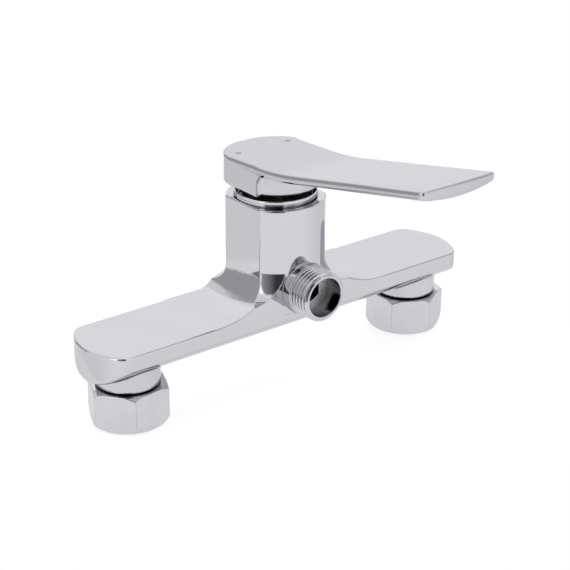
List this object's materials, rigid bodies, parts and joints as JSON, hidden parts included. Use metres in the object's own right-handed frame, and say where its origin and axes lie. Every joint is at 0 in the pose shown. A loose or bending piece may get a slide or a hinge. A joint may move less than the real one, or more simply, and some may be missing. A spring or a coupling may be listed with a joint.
{
  "type": "exposed single-lever shower mixer",
  "caption": "Wall-mounted bar shower mixer with a turning and lifting lever, threaded union inlets and a threaded hose outlet.",
  "frame": {"origin": "midway between the two inlet axes, in the plane of the union nuts' open ends", "axes": "+X along the bar toward the cold inlet, -Y the way the hose outlet and the lever point, +Z away from the wall"},
  "size_m": [0.1896, 0.1269, 0.1146],
  "materials": {
    "chrome": "bright polished chrome plate",
    "brass": "turned bare brass",
    "rubber": "matt moulded rubber",
    "steel": "stainless steel",
    "ceramic": "lapped alumina ceramic",
    "white_plastic": "moulded acetal",
    "grey_plastic": "satin grey plastic"
  },
  "bodies": {
    "body": {"body_casting": "chrome", "hose_spigot": "chrome", "inlet_nipple_left": "brass", "inlet_nipple_right": "brass", "nipple_seal_left": "rubber", "nipple_seal_right": "rubber", "inlet_washer_left": "rubber", "inlet_washer_right": "rubber", "inlet_strainer_left": "steel", "inlet_strainer_right": "steel", "spigot_seal": "rubber", "cartridge_gasket": "rubber", "cartridge_base": "white_plastic", "fixed_disc": "ceramic", "cartridge_housing": "white_plastic", "clamp_nut": "brass", "shroud_ring": "chrome"},
    "mixing_rotor": {"rotor": "white_plastic", "pivot_pin": "steel"},
    "lever": {"lever_handle": "chrome", "spindle": "brass", "grub_screw": "steel", "grub_plug": "grey_plastic", "index_dot_left": "grey_plastic", "index_dot_right": "grey_plastic"},
    "disc_slider": {"moving_disc": "ceramic", "disc_carrier": "white_plastic"},
    "nut_left": {"union_nut_left": "chrome"},
    "nut_right": {"union_nut_right": "chrome"}
  },
  "joints": [
    {"name": "lever_turn", "type": "hinge", "parent": "body", "child": "mixing_rotor", "pos_m": [0, 0, 0.068], "axis": [0, 0, 1], "range_deg": [-50, 50]},
    {"name": "lever_lift", "type": "hinge", "parent": "mixing_rotor", "child": "lever", "pos_m": [0, 0, 0.068], "axis": [-1, 0, 0], "range_deg": [0, 25]},
    {"name": "disc_slide", "type": "slide", "parent": "mixing_rotor", "child": "disc_slider", "axis": [0, -1, 0], "range_m": [0, 0.0027]},
    {"name": "nut_left_turn", "type": "hinge", "parent": "body", "child": "nut_left", "pos_m": [-0.075, 0, 0], "axis": [0, 0, 1], "continuous": true},
    {"name": "nut_right_turn", "type": "hinge", "parent": "body", "child": "nut_right", "pos_m": [0.075, 0, 0], "axis": [0, 0, 1], "continuous": true}
  ],
  "couplings": [
    {"joint": "disc_slide", "follows": "lever_lift", "m_per_rad": 0.0061509}
  ]
}
